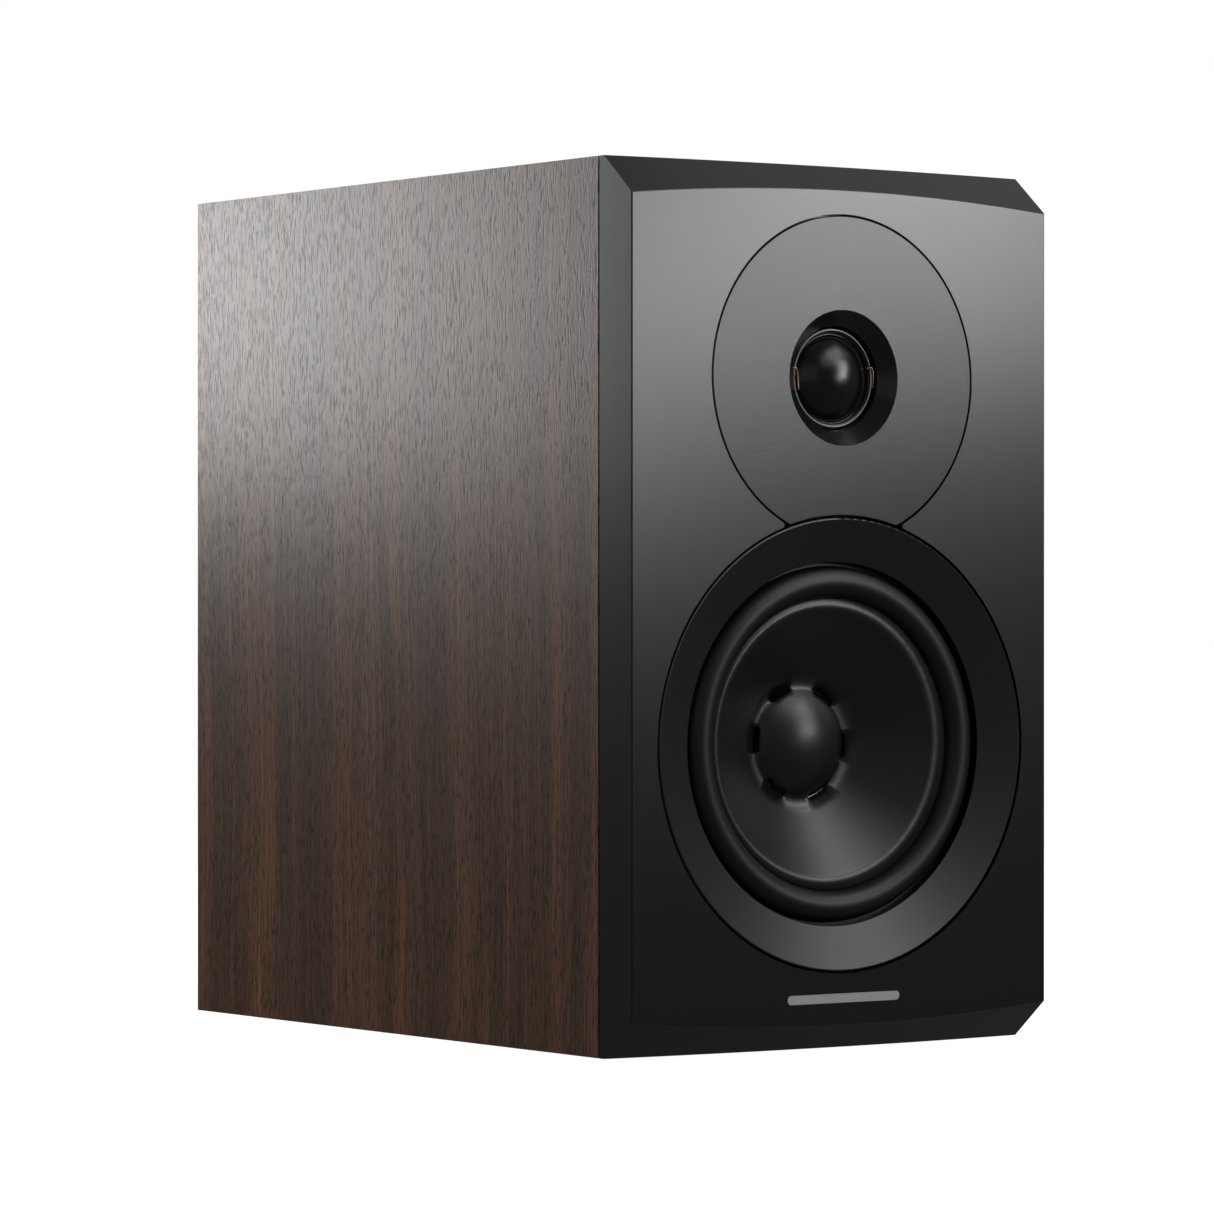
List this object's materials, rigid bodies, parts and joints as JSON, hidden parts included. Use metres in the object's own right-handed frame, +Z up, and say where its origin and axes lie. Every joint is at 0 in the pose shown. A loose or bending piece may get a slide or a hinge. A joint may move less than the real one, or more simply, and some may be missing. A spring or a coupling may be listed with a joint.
{
  "type": "bookshelf speaker",
  "caption": "Two-way bookshelf loudspeaker: veneered box with a bevelled black front, dome tweeter, cone woofer in a dished ring, rear port and screw terminals.",
  "frame": {"origin": "middle of the flat base, under the cabinet", "axes": "+Z up, the front faces -Y, +X to the right when facing along +Y"},
  "size_m": [0.17, 0.271, 0.29],
  "materials": {
    "walnut_veneer": "satin oiled walnut veneer, grain upright on the sides",
    "black_lacquer": "satin black lacquer on fibreboard",
    "black_foil": "black foil on fibreboard",
    "raw_fibreboard": "raw fibreboard",
    "foam": "open foam",
    "seal_foam": "closed-cell foam",
    "magnet_steel": "nickel-plated magnet",
    "badge_metal": "satin anodised",
    "trim_plastic": "fine-textured black moulding",
    "basket_metal": "black powder-coated casting",
    "cone_polymer": "coated mineral-filled polymer",
    "surround_rubber": "matt black rubber",
    "former_metal": "thin aluminium foil",
    "copper": "enamelled copper",
    "spider_cloth": "resin-treated woven cloth",
    "motor_steel": "zinc-plated steel",
    "ferrite": "ground ferrite",
    "terminal_board": "hard fibre board",
    "tinned_brass": "tinned",
    "faceplate_paint": "fine-grain black coating on a metal plate",
    "dome_fabric": "coated woven dome",
    "black_moulding": "satin black moulding",
    "screw_steel": "black zinc",
    "gold_plate": "gold-plated brass",
    "red_cap": "glossy red moulding",
    "black_cap": "glossy black moulding",
    "circuit_board": "green solder mask",
    "nylon": "natural nylon",
    "capacitor_film": "wrapped film capacitor",
    "cement": "white ceramic",
    "wire_insulation": "flexible insulation"
  },
  "bodies": {
    "cabinet": {"black_binding_post": "gold_plate", "bottom_panel": "walnut_veneer", "crossover_board": "circuit_board", "crossover_capacitors": "capacitor_film", "crossover_inductors": "copper", "crossover_resistors": "cement", "crossover_screws": "screw_steel", "crossover_standoffs": "nylon", "damping_pads": "foam", "driver_gaskets": "seal_foam", "driver_screws": "screw_steel", "front_badge": "badge_metal", "front_baffle": "black_lacquer", "grille_magnets": "magnet_steel", "inductor_bobbins": "black_moulding", "input_wires": "wire_insulation", "left_side_panel": "walnut_veneer", "port_flange": "black_moulding", "port_tube": "black_moulding", "post_nuts": "gold_plate", "rear_panel": "black_foil", "red_binding_post": "gold_plate", "right_side_panel": "walnut_veneer", "solder_tags": "tinned_brass", "terminal_cup": "black_moulding", "terminal_gasket": "seal_foam", "terminal_screws": "screw_steel", "top_panel": "walnut_veneer", "tweeter_faceplate": "faceplate_paint", "tweeter_housing": "black_moulding", "tweeter_lead_outs": "copper", "tweeter_magnet": "ferrite", "tweeter_pole_piece": "motor_steel", "tweeter_rear_chamber": "black_moulding", "tweeter_surround": "dome_fabric", "tweeter_tabs": "tinned_brass", "tweeter_top_plate": "motor_steel", "tweeter_wires": "wire_insulation", "window_brace": "raw_fibreboard", "woofer_basket": "basket_metal", "woofer_magnet": "ferrite", "woofer_pole_piece": "motor_steel", "woofer_spider": "spider_cloth", "woofer_surround": "surround_rubber", "woofer_tabs": "tinned_brass", "woofer_terminal_board": "terminal_board", "woofer_tinsel_leads": "copper", "woofer_top_plate": "motor_steel", "woofer_trim_ring": "trim_plastic", "woofer_wires": "wire_insulation"},
    "woofer_moving": {"woofer_cone": "cone_polymer", "woofer_coil_former": "former_metal", "woofer_voice_coil": "copper"},
    "tweeter_moving": {"tweeter_dome": "dome_fabric", "tweeter_coil_former": "former_metal", "tweeter_voice_coil": "copper"},
    "red_washer": {"red_post_washer": "gold_plate"},
    "red_cap": {"red_post_cap": "red_cap"},
    "black_washer": {"black_post_washer": "gold_plate"},
    "black_cap": {"black_post_cap": "black_cap"}
  },
  "joints": [
    {"name": "woofer_excursion", "type": "slide", "parent": "cabinet", "child": "woofer_moving", "axis": [0, -1, 0], "range_m": [-0.0045, 0.0045], "stiffness_N_per_m": 900, "deforming": ["woofer_surround", "woofer_spider", "woofer_tinsel_leads"]},
    {"name": "tweeter_excursion", "type": "slide", "parent": "cabinet", "child": "tweeter_moving", "axis": [0, -1, 0], "range_m": [-0.0003, 0.0003], "stiffness_N_per_m": 60, "deforming": ["tweeter_surround", "tweeter_lead_outs"]},
    {"name": "red_washer_slide", "type": "slide", "parent": "cabinet", "child": "red_washer", "axis": [0, 1, 0], "range_m": [0, 0.005]},
    {"name": "red_cap_turn", "type": "hinge", "parent": "red_washer", "child": "red_cap", "pos_m": [0.016, 0.1135, 0.085], "axis": [0, 1, 0], "range_deg": [0, 1800.1]},
    {"name": "black_washer_slide", "type": "slide", "parent": "cabinet", "child": "black_washer", "axis": [0, 1, 0], "range_m": [0, 0.005]},
    {"name": "black_cap_turn", "type": "hinge", "parent": "black_washer", "child": "black_cap", "pos_m": [-0.016, 0.1135, 0.085], "axis": [0, 1, 0], "range_deg": [0, 1800.1]}
  ],
  "couplings": [
    {"joint": "red_cap_turn", "follows": "red_washer_slide", "rad_per_m": 6283.2},
    {"joint": "black_cap_turn", "follows": "black_washer_slide", "rad_per_m": 6283.2}
  ]
}
